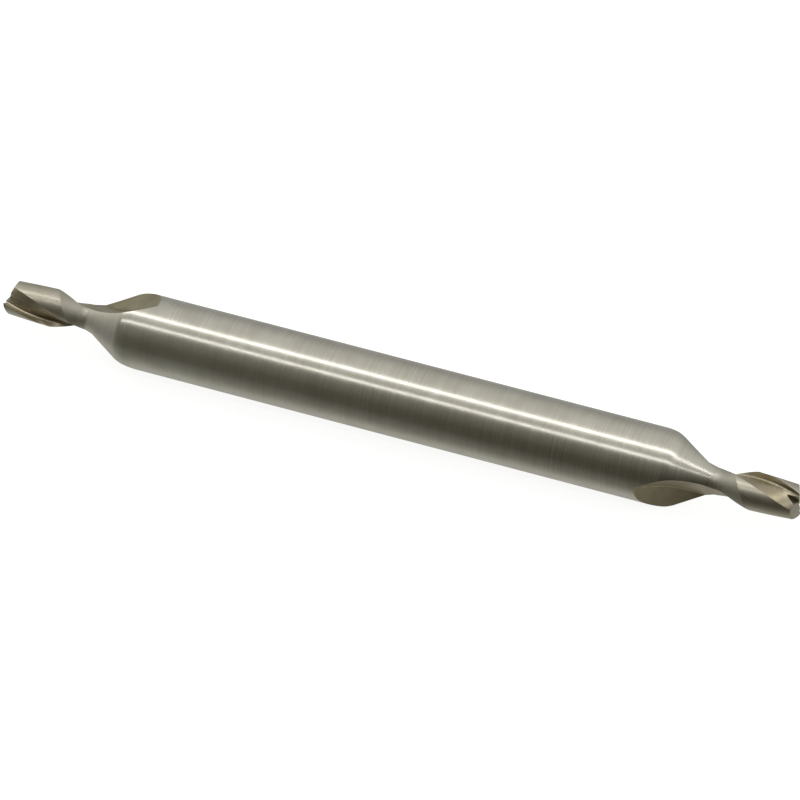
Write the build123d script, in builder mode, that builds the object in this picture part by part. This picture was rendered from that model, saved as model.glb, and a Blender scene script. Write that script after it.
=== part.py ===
from build123d import *
import os
from math import cos, radians, sin, tan

# A double-ended square end mill with two flutes at each end, ground from one round bar.
# Sizes are in millimetres. The bar lies along X and the middle of its axis is the origin.

# The bar before its flutes are ground
overall_length = 50.8
shank_diameter = 4.7625
cutter_diameter = 2.38125
head_length = 2.92
shoulder_length = 1.75
neck_front_diameter = 1.62
neck_back_diameter = 1.72
cone_base_distance = 7.9
cone_angle = 30.0
cone_root_radius = 0.45
shank_corner_radius = 1.6

# The flutes, two at each end
tooth_count = 2
web_thickness = 1.36
flute_lead = 16.3
rake_angle = 20.0
flute_floor_width = 1.77
flute_back_angle = 57.0
flute_root_radius = 0.14
flute_back_radius = 0.2
wheel_radius = 8.8
wheel_angle = 28.0
stop_past_head = 1.85

# The lands behind the cutting edges, and the end teeth
land_fall_angle = 3.0
land_radius = 1.036
dish_angle = 3.0
end_relief_angle = 8.0
end_land_width = 0.25
end_clearance_angle = 20.0
gash_angle = 50.0
gash_opening = 60.0
gash_past_centre = 0.03

# Where the first cutting corner of each end stands, from the -Y side toward the top
left_corner_angle = 205.4
right_corner_angle = 252.6

# How far a grinding cut starts outside the bar, and how far the cuts on an end reach
clear = 0.6
end_cut_reach = 3.6

half_length = overall_length / 2
shank_radius = shank_diameter / 2
cutter_radius = cutter_diameter / 2
core_radius = web_thickness / 2
flute_length = head_length + stop_past_head
rake_offset = cutter_radius * sin(radians(rake_angle))

# What the wheels take off an end is drawn with the tip at the origin, the bar along +Z and
# the first tooth's cutting corner on the X axis. Behind a cutting edge means toward +Y there.
turn_outside = 360 * clear / flute_lead

# The wheel that grinds a flute climbs along a helix on the web.
with BuildLine() as wheel_path:
    Helix(flute_lead, clear + flute_length, core_radius, center=(0, 0, -clear))
path = wheel_path.edges()[0]


def wheel_heading(outward):
    """Way in which the wheel's rim runs along the flute's floor, at its angle to the bar."""
    around = Vector(0, 0, 1).cross(outward)
    return around * sin(radians(wheel_angle)) + Vector(0, 0, cos(radians(wheel_angle)))


def rim_section(place):
    """Section of the wheel's rim: x is the height over the flute's floor, y runs across."""
    point = path @ place
    outward = Vector(point.X, point.Y, 0).normalized()
    rim_height = shank_radius - core_radius + clear
    back_top = flute_floor_width + rim_height * tan(radians(flute_back_angle))
    with BuildSketch(Plane(point, x_dir=outward, z_dir=wheel_heading(outward))) as rim:
        with BuildLine():
            Polyline(
                (rim_height, rake_offset),
                (0, rake_offset),
                (0, rake_offset - flute_floor_width),
                (rim_height, rake_offset - back_top),
                close=True,
            )
        make_face()
        fillet(rim.vertices().sort_by_distance(point)[0], flute_root_radius)
        fillet(rim.vertices().sort_by_distance(point)[2], flute_back_radius)
    return rim.sketch


# The flute itself, from outside the tip to where the wheel stops
with BuildPart() as flute_cut:
    sweep(rim_section(0), path=path, is_frenet=True)

# The flute's run-out, which the round wheel leaves where it stops and lifts out
with BuildPart() as run_out_cut:
    stop_point = path @ 1
    stop_outward = Vector(stop_point.X, stop_point.Y, 0).normalized()
    wheel_centre = stop_point + stop_outward * wheel_radius
    revolve(rim_section(1), axis=Axis(wheel_centre, stop_outward.cross(wheel_heading(stop_outward))))

# The relief of one land: it falls away behind its cutting edge, along the flutes' helix.
with BuildPart() as land_cut:
    with BuildLine() as land_line:
        Helix(flute_lead, clear + flute_length, cutter_radius, center=(0, 0, -clear))
    land_centre_x = cutter_radius - land_radius * cos(radians(land_fall_angle))
    land_centre_y = -land_radius * sin(radians(land_fall_angle))
    with BuildSketch(Plane.XY.offset(-clear)) as land_section:
        Circle(cutter_radius + clear)
        with Locations((land_centre_x, land_centre_y)):
            Circle(land_radius, mode=Mode.SUBTRACT)
        Rectangle(
            2 * (cutter_radius + clear),
            cutter_radius + clear,
            align=(Align.CENTER, Align.MIN),
            mode=Mode.INTERSECT,
        )
    sweep(land_section.sketch, path=land_line.edges()[0], is_frenet=True)

# The end of one tooth: dished toward the centre, with a narrow land behind its end edge and
# a steeper clearance behind that.
end_edge = Vector(-cos(radians(dish_angle)), 0, sin(radians(dish_angle)))
with BuildPart() as end_cut:
    land_depth = end_land_width * tan(radians(end_relief_angle))
    clearance_width = cutter_diameter
    clearance_depth = land_depth + (clearance_width - end_land_width) * tan(radians(end_clearance_angle))
    with BuildSketch(Plane((cutter_radius, gash_past_centre, 0), x_dir=(0, 1, 0), z_dir=end_edge)):
        with BuildLine():
            Polyline(
                (0, 0),
                (end_land_width, -land_depth),
                (clearance_width, -clearance_depth),
                (clearance_width, clear),
                (0, clear),
                close=True,
            )
        make_face()
    extrude(amount=end_cut_reach, both=True)

# The gash that opens the flute to the centre of the end: a groove with one wall on the end edge.
gash_line = Vector(cos(radians(gash_angle)), 0, sin(radians(gash_angle)))
gash_up = Vector(sin(radians(gash_angle)), 0, -cos(radians(gash_angle)))
with BuildPart() as gash_cut:
    with BuildSketch(Plane((0, gash_past_centre, 0), x_dir=gash_up, z_dir=gash_line)):
        with BuildLine():
            Polyline(
                (0, 0),
                (end_cut_reach, 0),
                (end_cut_reach * cos(radians(gash_opening)), -end_cut_reach * sin(radians(gash_opening))),
                close=True,
            )
        make_face()
    extrude(amount=end_cut_reach, both=True)


def end_plane(side, corner_angle):
    """Frame of one end's cuts: its tip, the way into the bar, and the first cutting corner."""
    across = radians(corner_angle)
    return Plane(
        (side * half_length, 0, 0),
        x_dir=(0, -cos(across), sin(across)),
        z_dir=(-side, 0, 0),
    )


with BuildPart() as end_mill:
    # The turned bar: head, shoulder, neck, cone and shank, the same at both ends
    with BuildSketch() as bar_section:
        cone_base = half_length - cone_base_distance
        neck_back = cone_base + (shank_radius - neck_back_diameter / 2) / tan(radians(cone_angle))
        neck_front = half_length - head_length - shoulder_length
        with BuildLine():
            Polyline(
                (0, 0),
                (0, shank_radius),
                (cone_base, shank_radius),
                (neck_back, neck_back_diameter / 2),
                (neck_front, neck_front_diameter / 2),
                (half_length - head_length, cutter_radius),
                (half_length, cutter_radius),
                (half_length, 0),
                close=True,
            )
        make_face()
        corners = bar_section.vertices()
        fillet(corners.sort_by_distance((cone_base, shank_radius))[0], shank_corner_radius)
        corners = bar_section.vertices()
        fillet(corners.sort_by_distance((neck_back, neck_back_diameter / 2))[0], cone_root_radius)
        mirror(about=Plane.YZ)
    revolve(axis=Axis.X)

    for side, corner_angle in ((-1, left_corner_angle), (1, right_corner_angle)):
        end_frame = end_plane(side, corner_angle).location
        for tooth in range(tooth_count):
            tooth_frame = end_frame * Rotation(0, 0, 360 * tooth / tooth_count)
            with Locations(tooth_frame * Rotation(0, 0, -turn_outside - rake_angle)):
                add(flute_cut.part, mode=Mode.SUBTRACT)
                add(run_out_cut.part, mode=Mode.SUBTRACT)
            with Locations(tooth_frame * Rotation(0, 0, -turn_outside)):
                add(land_cut.part, mode=Mode.SUBTRACT)
            with Locations(tooth_frame):
                add(end_cut.part, mode=Mode.SUBTRACT)
                add(gash_cut.part, mode=Mode.SUBTRACT)

end_mill.part.label = "end_mill"
os.makedirs("parts", exist_ok=True)
export_step(end_mill.part, "parts/end_mill.step")
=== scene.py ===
from math import asin, cos, pi, radians, sin, tan

import bmesh
import bpy
from mathutils import Matrix, Vector
from mathutils.bvhtree import BVHTree
from mathutils.interpolate import poly_3d_calc


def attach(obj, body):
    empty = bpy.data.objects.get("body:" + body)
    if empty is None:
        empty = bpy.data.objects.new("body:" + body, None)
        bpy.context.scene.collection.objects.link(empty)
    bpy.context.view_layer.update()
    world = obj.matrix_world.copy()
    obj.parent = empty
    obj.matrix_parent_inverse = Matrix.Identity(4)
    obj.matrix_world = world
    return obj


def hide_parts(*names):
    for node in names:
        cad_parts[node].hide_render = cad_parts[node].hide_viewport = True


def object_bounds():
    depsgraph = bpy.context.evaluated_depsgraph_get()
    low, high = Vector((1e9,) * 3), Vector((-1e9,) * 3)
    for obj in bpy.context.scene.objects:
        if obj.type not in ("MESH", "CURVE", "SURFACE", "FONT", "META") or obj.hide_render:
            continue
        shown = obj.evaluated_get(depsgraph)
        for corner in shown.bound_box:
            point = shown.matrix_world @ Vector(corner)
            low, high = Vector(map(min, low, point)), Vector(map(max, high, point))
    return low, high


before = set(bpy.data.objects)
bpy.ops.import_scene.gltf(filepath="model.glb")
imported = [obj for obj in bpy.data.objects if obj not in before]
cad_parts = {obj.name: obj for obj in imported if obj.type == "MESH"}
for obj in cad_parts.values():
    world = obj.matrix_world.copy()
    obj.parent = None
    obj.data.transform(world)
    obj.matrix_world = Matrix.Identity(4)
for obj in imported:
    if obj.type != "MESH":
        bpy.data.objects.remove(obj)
cad_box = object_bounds()
scene = bpy.context.scene

# The turned bar: one rod of high-speed steel, turned down to a cone, a neck and a head at each
# end, hardened, and ground round all over. Its sizes are in millimetres until it is finished.
half_length = 25.4
shank_radius = 2.38125
cutter_radius = 1.190625
head_length = 2.92
shoulder_length = 1.75
neck_front_radius = 0.81
neck_back_radius = 0.86
cone_base_distance = 7.9
cone_angle = radians(30)
cone_root_radius = 0.45
shank_corner_radius = 1.6
head_start = half_length - head_length
neck_front = head_start - shoulder_length
cone_base = half_length - cone_base_distance
neck_back = cone_base + (shank_radius - neck_back_radius) / tan(cone_angle)
turned_steps = 360
corner_steps = 16
smooth_edge_limit = radians(7.5)


def rounded_corner(before, corner, after, radius, steps):
    """The arc that rounds the corner of a drawn line, as points from one side to the other."""
    back = (before - corner).normalized()
    on = (after - corner).normalized()
    half_opening = back.angle(on) / 2
    centre = corner + (back + on).normalized() * radius / sin(half_opening)
    first = corner + back * radius / tan(half_opening) - centre
    last = corner + on * radius / tan(half_opening) - centre
    sweep = first.angle(last)
    return [
        centre + (first * sin(sweep * (1 - step / steps)) + last * sin(sweep * step / steps)) / sin(sweep)
        for step in range(steps + 1)
    ]


def closed_skin(name, sections):
    """A closed skin over a row of sections. Its map runs across a section, then along the row."""
    count = len(sections[0])
    points = [point for section in sections for point in section]
    faces = [
        (row + spot, row + (spot + 1) % count, row + count + (spot + 1) % count, row + count + spot)
        for row in range(0, len(points) - count, count)
        for spot in range(count)
    ]
    faces.append(tuple(range(count)))
    faces.append(tuple(range(len(points) - count, len(points))))
    mesh = bpy.data.meshes.new(name)
    mesh.from_pydata(points, [], faces)
    work = bmesh.new()
    work.from_mesh(mesh)
    bmesh.ops.recalc_face_normals(work, faces=work.faces)
    work.to_mesh(mesh)
    work.free()

    middle = count // 2
    across, along = [0.0], [0.0]
    for spot in range(1, count):
        across.append(across[-1] + (sections[0][spot] - sections[0][spot - 1]).length)
    for row in range(1, len(sections)):
        along.append(along[-1] + (sections[row][middle] - sections[row - 1][middle]).length)
    grain = mesh.uv_layers.new(name="grain")
    for corner in mesh.loops:
        row, spot = divmod(corner.vertex_index, count)
        grain.uv[corner.index].vector = (across[spot], along[row])
    mesh.shade_smooth()
    mesh.set_sharp_from_angle(angle=smooth_edge_limit)
    return mesh


cone_top = Vector((cone_base, shank_radius))
cone_bottom = Vector((neck_back, neck_back_radius))
neck_end = Vector((neck_front, neck_front_radius))
turned_line = [
    *rounded_corner(Vector((0, shank_radius)), cone_top, cone_bottom, shank_corner_radius, corner_steps),
    *rounded_corner(cone_top, cone_bottom, neck_end, cone_root_radius, corner_steps),
    neck_end,
    Vector((head_start, cutter_radius)),
    Vector((half_length, cutter_radius)),
]
turned_line = [Vector((-spot.x, spot.y)) for spot in reversed(turned_line)] + turned_line
turns = [2 * pi * step / turned_steps for step in range(turned_steps)]
turned_bar = closed_skin("turned bar", [
    [Vector((spot.x, spot.y * cos(turn), spot.y * sin(turn))) for turn in turns]
    for spot in turned_line
])

# The flutes: two at each end, ground into the solid bar by a dressed wheel that climbs along a
# helix and then lifts out, which leaves the long scoop in the neck and the cone.
tooth_count = 2
core_radius = 0.68
flute_lead = 16.3
stop_past_head = 1.85
flute_length = head_length + stop_past_head
rake_angle = radians(20)
flute_floor_width = 1.77
flute_back_angle = radians(57)
flute_root_radius = 0.14
flute_back_radius = 0.2
wheel_radius = 8.8
wheel_angle = radians(28)
# How far outside the bar each cut starts
clear = 0.6
rake_offset = cutter_radius * sin(rake_angle)
rim_height = shank_radius - core_radius + clear
back_top = flute_floor_width + rim_height * tan(flute_back_angle)


def spaced(start, end, steps):
    """Points from start up to, but not with, end."""
    return [start.lerp(end, step / steps) for step in range(steps)]


rim_top_front = Vector((rim_height, rake_offset))
rim_front = Vector((0, rake_offset))
rim_back = Vector((0, rake_offset - flute_floor_width))
rim_top_back = Vector((rim_height, rake_offset - back_top))
root_arc = rounded_corner(rim_top_front, rim_front, rim_back, flute_root_radius, steps=16)
back_arc = rounded_corner(rim_front, rim_back, rim_top_back, flute_back_radius, steps=10)
rim_line = [
    *spaced(rim_top_front, root_arc[0], steps=14),
    *root_arc[:-1],
    *spaced(root_arc[-1], back_arc[0], steps=14),
    *back_arc[:-1],
    *spaced(back_arc[-1], rim_top_back, steps=30),
    rim_top_back,
]


def on_helix(height):
    """The rim's lowest point when the wheel is this far into the bar, and the way out there."""
    turn = 2 * pi * (height + clear) / flute_lead
    outward = Vector((cos(turn), sin(turn), 0))
    return outward * core_radius + Vector((0, 0, height)), outward


def wheel_heading(outward):
    """The way in which the wheel's rim runs along the flute's floor, at its angle to the bar."""
    return Vector((0, 0, 1)).cross(outward) * sin(wheel_angle) + Vector((0, 0, cos(wheel_angle)))


def rim_at(height):
    """The wheel's rim where it touches the flute's floor, this far into the bar."""
    point, outward = on_helix(height)
    sideways = wheel_heading(outward).cross(outward)
    return [point + outward * spot.x + sideways * spot.y for spot in rim_line]


# How far the wheel has come at each step, from where it starts outside the tip
flute_steps = 150
ways = [(flute_length + clear) * step / flute_steps for step in range(flute_steps + 1)]
flute = closed_skin("flute", [rim_at(-clear + way) for way in ways])

# The run-out, where the wheel stops: its rim turned about its own axle, this many degrees each way
run_out_degrees = 60
run_out_steps = 160
stop_point, stop_outward = on_helix(flute_length)
wheel_centre = stop_point + stop_outward * wheel_radius
wheel_axle = stop_outward.cross(wheel_heading(stop_outward))
last_rim = rim_at(flute_length)
run_out = []
for step in range(run_out_steps + 1):
    degrees = -run_out_degrees + 2 * run_out_degrees * step / run_out_steps
    wheel_turn = Matrix.Rotation(radians(degrees), 3, wheel_axle)
    run_out.append([wheel_centre + wheel_turn @ (spot - wheel_centre) for spot in last_rim])
run_out = closed_skin("run-out", run_out)

# The lands behind the cutting edges: relieved by the same grinder in one pass along each flute,
# which leaves a round back that falls away from the edge.
land_radius = 1.036
land_fall_angle = radians(3)
land_centre = Vector((
    cutter_radius - land_radius * cos(land_fall_angle),
    -land_radius * sin(land_fall_angle),
    0,
))
land_end = asin(-land_centre.y / land_radius)


def arc(centre, radius, start, end, steps):
    """Points on an arc in the bar's cross-section, from one angle to the other."""
    angles = [start + (end - start) * step / steps for step in range(steps + 1)]
    return [centre + Vector((radius * cos(angle), radius * sin(angle), 0)) for angle in angles]


land_section = [
    *arc(Vector((0, 0, 0)), cutter_radius + clear, 0, pi, steps=30),
    *arc(land_centre, land_radius, pi - land_end, land_end, steps=90),
]
land = []
for way in ways:
    along_helix = Matrix.Rotation(2 * pi * way / flute_lead, 3, "Z")
    land.append([along_helix @ spot + Vector((0, 0, -clear + way)) for spot in land_section])
land = closed_skin("land", land)

# The end teeth: a dished face with a narrow land and a steeper clearance, and the gash that
# opens the flute to the middle. Both are flat passes of a small wheel.
dish_angle = radians(3)
end_relief_angle = radians(8)
end_clearance_angle = radians(20)
end_land_width = 0.25
gash_angle = radians(50)
gash_opening = radians(60)
gash_past_centre = 0.03
end_cut_reach = 3.6
land_depth = end_land_width * tan(end_relief_angle)
clearance_width = 2 * cutter_radius
clearance_depth = land_depth + (clearance_width - end_land_width) * tan(end_clearance_angle)


def flat_pass(name, section, along):
    """What a flat pass of the wheel takes off: a section carried both ways along a line."""
    reaches = (-end_cut_reach, end_cut_reach)
    return closed_skin(name, [[spot + along * reach for spot in section] for reach in reaches])


end_edge = Vector((-cos(dish_angle), 0, sin(dish_angle)))
end_up = end_edge.cross(Vector((0, 1, 0)))
end_face = flat_pass("end face", [
    Vector((cutter_radius, gash_past_centre, 0)) + Vector((0, 1, 0)) * behind + end_up * height
    for behind, height in (
        (0, 0),
        (end_land_width, -land_depth),
        (clearance_width, -clearance_depth),
        (clearance_width, clear),
        (0, clear),
    )
], end_edge)

gash_line = Vector((cos(gash_angle), 0, sin(gash_angle)))
gash_up = Vector((sin(gash_angle), 0, -cos(gash_angle)))
gash_side = gash_line.cross(gash_up)
gash = flat_pass("gash", [
    Vector((0, gash_past_centre, 0)) + gash_up * height + gash_side * aside
    for height, aside in (
        (0, 0),
        (end_cut_reach, 0),
        (end_cut_reach * cos(gash_opening), -end_cut_reach * sin(gash_opening)),
    )
], gash_line)

# The finished mill: every cut of both ends taken from the bar, each surface keeping the
# smoothness and the grain of the wheel that ground it.
left_corner_angle = radians(205.4)
right_corner_angle = radians(252.6)
turn_outside = 2 * pi * clear / flute_lead
cuts = []
finishes = ["bar"]
for side, corner_angle in ((-1, left_corner_angle), (1, right_corner_angle)):
    first_corner = Vector((0, -cos(corner_angle), sin(corner_angle)))
    into_bar = Vector((-side, 0, 0))
    beside = into_bar.cross(first_corner)
    end_frame = Matrix((
        (first_corner.x, beside.x, into_bar.x, side * half_length),
        (first_corner.y, beside.y, into_bar.y, 0),
        (first_corner.z, beside.z, into_bar.z, 0),
        (0, 0, 0, 1),
    ))
    for tooth in range(tooth_count):
        for shape, turn, finish in (
            (flute, -turn_outside - rake_angle, "flute"),
            (run_out, -turn_outside - rake_angle, "flute"),
            (land, -turn_outside, "land"),
            (end_face, 0, "end tooth"),
            (gash, 0, "end tooth"),
        ):
            cut = shape.copy()
            cut.transform(end_frame @ Matrix.Rotation(2 * pi * tooth / tooth_count + turn, 4, "Z"))
            cuts.append(cut)
            finishes.append(finish)

# Each cut numbers its faces, so that the faces of the ground mill still tell which one made them.
# What no cut has touched keeps the bar's number, which is 0.
mill = bpy.data.objects.new("ground_end_mill", turned_bar.copy())
scene.collection.objects.link(mill)
mill.data.attributes.new("ground_by", "INT", "FACE")
wheels = []
for number, cut in enumerate(cuts, start=1):
    mark = cut.attributes.new("ground_by", "INT", "FACE")
    mark.data.foreach_set("value", [number] * len(cut.polygons))
    wheel = bpy.data.objects.new("wheel", cut)
    scene.collection.objects.link(wheel)
    grind = mill.modifiers.new("grind", "BOOLEAN")
    grind.operation = "DIFFERENCE"
    grind.solver = "MANIFOLD"
    grind.object = wheel
    wheels.append(wheel)
ground = bpy.data.meshes.new_from_object(mill.evaluated_get(bpy.context.evaluated_depsgraph_get()))
ground.materials.clear()
mill.modifiers.clear()
mill.data = ground
for wheel in wheels:
    bpy.data.objects.remove(wheel)

# Each corner of a face takes its smooth normal and its place in the grain from the surface that
# the face came from. The spot there is sought a little way into the face, clear of its edges.
into_face = 0.02
finish_slots = ("bar", "flute", "land", "end tooth")
sources = []
for source in (turned_bar, *cuts):
    source.calc_loop_triangles()
    spots = [spot.co for spot in source.vertices]
    triangles = [triangle.vertices for triangle in source.loop_triangles]
    sources.append((source, BVHTree.FromPolygons(spots, triangles, all_triangles=True)))
grain = ground.uv_layers["grain"]
ground_by = ground.attributes["ground_by"].data
normals = [None] * len(ground.loops)
for face in ground.polygons:
    number = ground_by[face.index].value
    source, lookup = sources[number]
    # A cut leaves a hollow, and the hollow's surface faces the other way from the cut's own skin.
    facing = -1 if number else 1
    for corner in face.loop_indices:
        spot = ground.vertices[ground.loops[corner].vertex_index].co
        nearest = lookup.find_nearest(spot.lerp(face.center, into_face))[2]
        triangle = source.loop_triangles[nearest]
        shares = poly_3d_calc([source.vertices[v].co for v in triangle.vertices], spot)
        normal = Vector()
        in_grain = Vector((0, 0))
        for loop, share in zip(triangle.loops, shares):
            normal += source.corner_normals[loop].vector * share
            in_grain += source.uv_layers["grain"].uv[loop].vector * share
        normals[corner] = facing * normal.normalized()
        grain.uv[corner].vector = in_grain
    face.material_index = finish_slots.index(finishes[number])
ground.attributes.remove(ground.attributes["ground_by"])
millimetre = 0.001
ground.transform(Matrix.Scale(millimetre, 4))
ground.shade_smooth()
ground.normals_split_custom_set(normals)


def mapped(tree, value, start, end, low=0.0, high=1.0):
    """How far a value has come from start to end, laid over low to high."""
    share = tree.nodes.new("ShaderNodeMapRange")
    for name, number in (("From Min", start), ("From Max", end), ("To Min", low), ("To Max", high)):
        share.inputs[name].default_value = number
    tree.links.new(value, share.inputs["Value"])
    return share.outputs["Result"]


def mixed(tree, kind, share, first, second):
    """Two colours or two numbers that run into each other. A plain colour is three numbers."""
    mix = tree.nodes.new("ShaderNodeMix")
    mix.data_type = kind
    tree.links.new(share, mix.inputs["Factor"])
    for socket, value in (("A", first), ("B", second)):
        if isinstance(value, tuple):
            mix.inputs[socket].default_value = (*value, 1)
        else:
            tree.links.new(value, mix.inputs[socket])
    return mix.outputs["Result"]


def noise(tree, place, scale):
    """Cloudy noise over a place."""
    clouds = tree.nodes.new("ShaderNodeTexNoise")
    clouds.inputs["Scale"].default_value = scale
    clouds.inputs["Detail"].default_value = 4.0
    tree.links.new(place, clouds.inputs["Vector"])
    return clouds.outputs["Fac"]


# Nearly all of the noise lies between these
noise_low = 0.3
noise_high = 0.7
blotches_per_metre = 700.0
darkest_streak = 0.93
palest_streak = 1.04
scratch_height = 0.00001
# How far from the middle, in metres, the look toward the shank gives way to the one toward the tip
shank_look_ends = 0.0199
tip_look_starts = 0.0206


def ground_steel(name, parts, grain_of_cut, scratch_depth):
    """Bare ground steel. Its tint wanders a little, and the wheel's scratches lie along the grain.

    A part is a darker and a paler tint, and the least and the most roughness. The surface has one
    part, or one toward the shank and one toward the tip, which run into each other at the neck.
    """
    steel = bpy.data.materials.new(name)
    steel.use_nodes = True
    tree = steel.node_tree
    nodes = tree.nodes
    links = tree.links
    shader = nodes["Principled BSDF"]
    shader.inputs["Metallic"].default_value = 1.0
    place = nodes.new("ShaderNodeTexCoord").outputs["Object"]
    blotches = mapped(tree, noise(tree, place, blotches_per_metre), noise_low, noise_high)
    scratches = noise(tree, grain_of_cut(tree), scale=1.0)
    looks = [
        (
            mixed(tree, "RGBA", blotches, darker, paler),
            mapped(tree, scratches, noise_low, noise_high, smoothest, roughest),
        )
        for darker, paler, smoothest, roughest in parts
    ]
    colour, dullness = looks[0]
    if len(looks) == 2:
        axes = nodes.new("ShaderNodeSeparateXYZ")
        links.new(place, axes.inputs[0])
        from_middle = nodes.new("ShaderNodeMath")
        from_middle.operation = "ABSOLUTE"
        links.new(axes.outputs["X"], from_middle.inputs[0])
        past_neck = mapped(tree, from_middle.outputs[0], shank_look_ends, tip_look_starts)
        colour, dullness = (
            mixed(tree, kind, past_neck, toward_shank, toward_tip)
            for kind, toward_shank, toward_tip in zip(("RGBA", "FLOAT"), *looks)
        )

    streaks = mapped(tree, scratches, noise_low, noise_high, darkest_streak, palest_streak)
    streaked = nodes.new("ShaderNodeVectorMath")
    streaked.operation = "SCALE"
    links.new(colour, streaked.inputs["Vector"])
    links.new(streaks, streaked.inputs["Scale"])
    links.new(streaked.outputs["Vector"], shader.inputs["Base Color"])
    links.new(dullness, shader.inputs["Roughness"])
    relief = nodes.new("ShaderNodeBump")
    relief.inputs["Strength"].default_value = scratch_depth
    relief.inputs["Distance"].default_value = scratch_height
    links.new(scratches, relief.inputs["Height"])
    links.new(relief.outputs["Normal"], shader.inputs["Normal"])
    return steel


def drawn_out(tree, place, scale):
    """A place scaled by another number along each axis, so that noise over it turns into lines."""
    mapping = tree.nodes.new("ShaderNodeMapping")
    mapping.inputs["Scale"].default_value = scale
    tree.links.new(place, mapping.inputs["Vector"])
    return mapping.outputs["Vector"]


# How closely the noise runs: the rings' per metre, along the bar and across it, and the lines'
# per millimetre, across the cut and along it
ring_scale = (14000.0, 150.0, 150.0)
line_scale = (22.0, 0.9, 1.0)


def rings_around(tree):
    """Grain of the cylindrical grinder: fine rings around the bar."""
    place = tree.nodes.new("ShaderNodeTexCoord")
    return drawn_out(tree, place.outputs["Object"], ring_scale)


def lines_along(tree):
    """Grain of the tool grinder: lines along the cut, as the wheel went."""
    place = tree.nodes.new("ShaderNodeUVMap")
    place.uv_map = "grain"
    return drawn_out(tree, place.outputs["UV"], line_scale)


# Darker tint, paler tint, least and most roughness
bar_finish = ((0.58, 0.56, 0.49), (0.66, 0.645, 0.575), 0.19, 0.27)
neck_finish = ((0.44, 0.42, 0.355), (0.52, 0.50, 0.43), 0.54, 0.66)
# The run-out facets' darker olive tints are painted reflection: they stand in for the dark olive that the
# facets mirror from below
run_out_look_with_painted_reflection = ((0.30, 0.26, 0.16), (0.43, 0.40, 0.28), 0.28, 0.40)
flute_finish = ((0.40, 0.35, 0.24), (0.54, 0.49, 0.38), 0.28, 0.40)
land_finish = ((0.51, 0.475, 0.385), (0.61, 0.58, 0.49), 0.31, 0.43)
end_tooth_finish = ((0.38, 0.35, 0.26), (0.52, 0.50, 0.40), 0.30, 0.42)
# In the order of the finish slots
for steel in (
    ground_steel("round ground steel", [bar_finish, neck_finish], rings_around, 0.045),
    # Toward the shank the flute steel takes the run-out's tints, which are painted reflection
    ground_steel("flute steel with painted run-out reflection", [run_out_look_with_painted_reflection, flute_finish], lines_along, 0.15),
    ground_steel("land steel", [land_finish], lines_along, 0.08),
    ground_steel("end tooth steel", [end_tooth_finish], lines_along, 0.15),
):
    ground.materials.append(steel)
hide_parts("end_mill")
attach(mill, "root")

# The table under the tool: a sheet of matt white plastic lit from below, so it has no shadows.
# Shiny things on it are turned so that they mirror the room and not the sheet.
bpy.ops.mesh.primitive_plane_add(size=3.0, location=(0, 0, cad_box[0][2]))
floor = bpy.context.object
floor.name = "floor"
sheet_white = bpy.data.materials.new("matt white sheet")
sheet_white.use_nodes = True
sheet = sheet_white.node_tree.nodes["Principled BSDF"]
sheet.inputs["Base Color"].default_value = (0.30, 0.30, 0.297, 1)
sheet.inputs["Roughness"].default_value = 0.9
sheet.inputs["Emission Color"].default_value = (1.0, 1.0, 0.99, 1)
sheet.inputs["Emission Strength"].default_value = 0.90
floor.data.materials.append(sheet_white)
floor.visible_glossy = False

# The camera: a long lens that looks down on the tool from the front, a little from its right.
# Its frame is a touch lower than its axis, so that the tool stands as high as in the photograph.
camera_elevation = radians(46.52)
camera_azimuth = radians(19.83)
camera_distance = 0.45
picture_width = 0.0484
picture_pixels = 800
raised_pixels = 1.68
toward_camera = Vector((
    sin(camera_azimuth) * cos(camera_elevation),
    -cos(camera_azimuth) * cos(camera_elevation),
    sin(camera_elevation),
))
camera_data = bpy.data.cameras.new("camera")
camera_data.sensor_width = 36.0
camera_data.lens = camera_data.sensor_width * camera_distance / picture_width
camera_data.clip_start = 0.01
camera_data.shift_y = -raised_pixels / picture_pixels
camera = bpy.data.objects.new("camera", camera_data)
scene.collection.objects.link(camera)
camera.location = toward_camera * camera_distance
camera.rotation_euler = toward_camera.to_track_quat("Z", "Y").to_euler()
scene.camera = camera

# The studio lamps: two long strips that lie along the tool, each at its own height around it,
# so that the ground steel shows each as one streak along the shank.
strip_length = 1.4
strip_distance = 0.6


def strip_lamp(name, height_angle, width, power):
    """A long lamp at this angle over the front horizon, aimed at the tool's axis."""
    lamp_data = bpy.data.lights.new(name, "AREA")
    lamp_data.shape = "RECTANGLE"
    lamp_data.size = strip_length
    lamp_data.size_y = width
    lamp_data.energy = power
    lamp = bpy.data.objects.new(name, lamp_data)
    scene.collection.objects.link(lamp)
    away = Vector((0, -cos(radians(height_angle)), sin(radians(height_angle))))
    across = Vector((1, 0, 0))
    up = away.cross(across)
    lamp.matrix_world = Matrix.Translation(away * strip_distance) @ Matrix((
        (across.x, up.x, away.x),
        (across.y, up.y, away.y),
        (across.z, up.z, away.z),
    )).to_4x4()
    lamp.visible_camera = False


strip_lamp("strip over the tool", height_angle=95.7, width=0.07, power=0.88)
strip_lamp("narrow strip in front", height_angle=65.6, width=0.05, power=0.6)

# The room around the table: a bright ceiling, a darker front behind the camera, grey end walls
# and a white wall behind what the camera sees.
room = bpy.data.worlds.new("room")
scene.world = room
room.use_nodes = True
tree = room.node_tree
nodes = tree.nodes
links = tree.links
direction = nodes.new("ShaderNodeSeparateXYZ")
links.new(nodes.new("ShaderNodeTexCoord").outputs["Generated"], direction.inputs[0])
forward = nodes.new("ShaderNodeMath")
forward.operation = "MULTIPLY"
forward.inputs[1].default_value = -1.0
links.new(direction.outputs["Y"], forward.inputs[0])
height = nodes.new("ShaderNodeMath")
height.operation = "ARCTAN2"
links.new(direction.outputs["Z"], height.inputs[0])
links.new(forward.outputs[0], height.inputs[1])
height_share = mapped(tree, height.outputs[0], -pi, pi)

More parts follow.
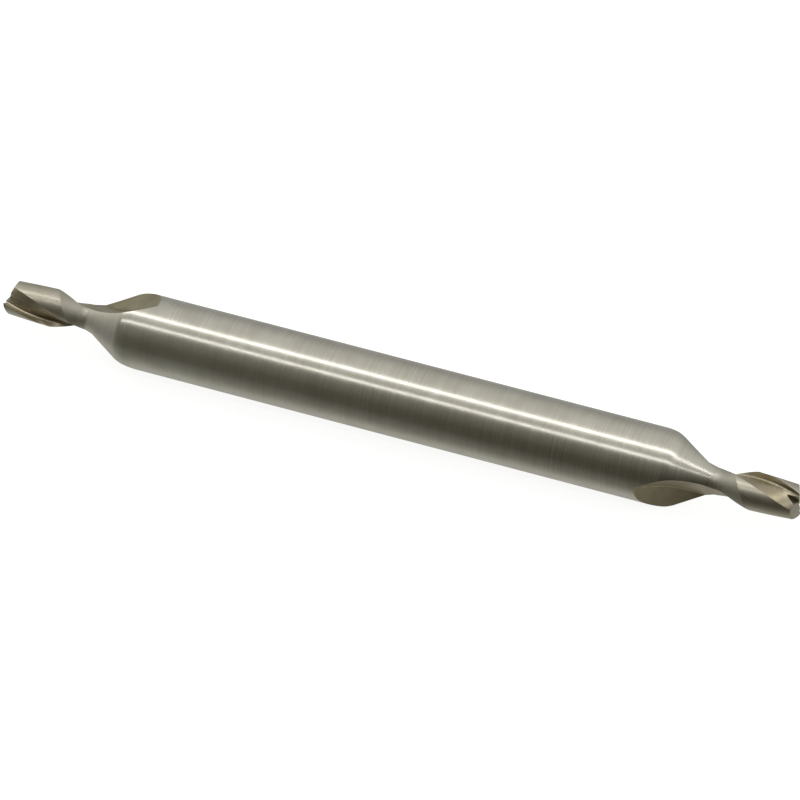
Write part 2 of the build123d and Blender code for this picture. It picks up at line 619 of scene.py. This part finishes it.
# Degrees over the front horizon, and the shade there in the left and in the right half
wall_light = (
    (-180, (0.38, 0.38, 0.365), (0.38, 0.38, 0.365)),
    (-80, (0.50, 0.50, 0.47), (0.52, 0.51, 0.48)),
    (-45, (0.265, 0.27, 0.245), (0.19, 0.18, 0.16)),
    (-10, (0.130, 0.127, 0.106), (0.055, 0.049, 0.037)),
    (15, (0.135, 0.131, 0.108), (0.056, 0.050, 0.038)),
    (52, (0.255, 0.255, 0.23), (0.18, 0.17, 0.15)),
    (72, (0.38, 0.375, 0.35), (0.38, 0.375, 0.35)),
    (84, (0.54, 0.535, 0.51), (0.54, 0.535, 0.51)),
    (108, (0.74, 0.735, 0.70), (0.74, 0.735, 0.70)),
    (140, (0.64, 0.635, 0.605), (0.64, 0.635, 0.605)),
    (180, (0.38, 0.38, 0.365), (0.38, 0.38, 0.365)),
)
left_half_ends = -0.26
right_half_starts = -0.20
halves = []
for half in range(2):
    walls = nodes.new("ShaderNodeValToRGB")
    stops = walls.color_ramp.elements
    while len(stops) < len(wall_light):
        stops.new(0.5)
    for stop, (degrees, *shades) in zip(stops, wall_light):
        stop.position = (degrees + 180) / 360
        stop.color = (*shades[half], 1)
    links.new(height_share, walls.inputs["Fac"])
    halves.append(walls.outputs["Color"])
toward_right = mapped(tree, direction.outputs["X"], left_half_ends, right_half_starts)
light = mixed(tree, "RGBA", toward_right, *halves)

# The end walls, left and right: where each starts and is full along the tool, the axis along
# which it gets paler, from where to where on it, and its darkest and palest grey
for starts_at, full_at, shaded_along, shaded_from, shaded_to, darkest, palest in (
    (-0.68, -0.78, "Y", -0.45, 0.2, 0.19, 0.76),
    (0.80, 0.92, "Z", -0.5, 0.6, 0.17, 0.46),
):
    end_tint = nodes.new("ShaderNodeVectorMath")
    end_tint.operation = "SCALE"
    end_tint.inputs[0].default_value = (1.0, 0.985, 0.91)
    shade = mapped(tree, direction.outputs[shaded_along], shaded_from, shaded_to, darkest, palest)
    links.new(shade, end_tint.inputs["Scale"])
    toward_end = mapped(tree, direction.outputs["X"], starts_at, full_at)
    light = mixed(tree, "RGBA", toward_end, light, end_tint.outputs["Vector"])
seen = nodes.new("ShaderNodeLightPath").outputs["Is Camera Ray"]
backdrop = mixed(tree, "RGBA", seen, light, (0.99, 0.99, 0.985))
links.new(backdrop, nodes["Background"].inputs["Color"])

# Colours as the lamps give them, with no film look
scene.view_settings.view_transform = "Standard"
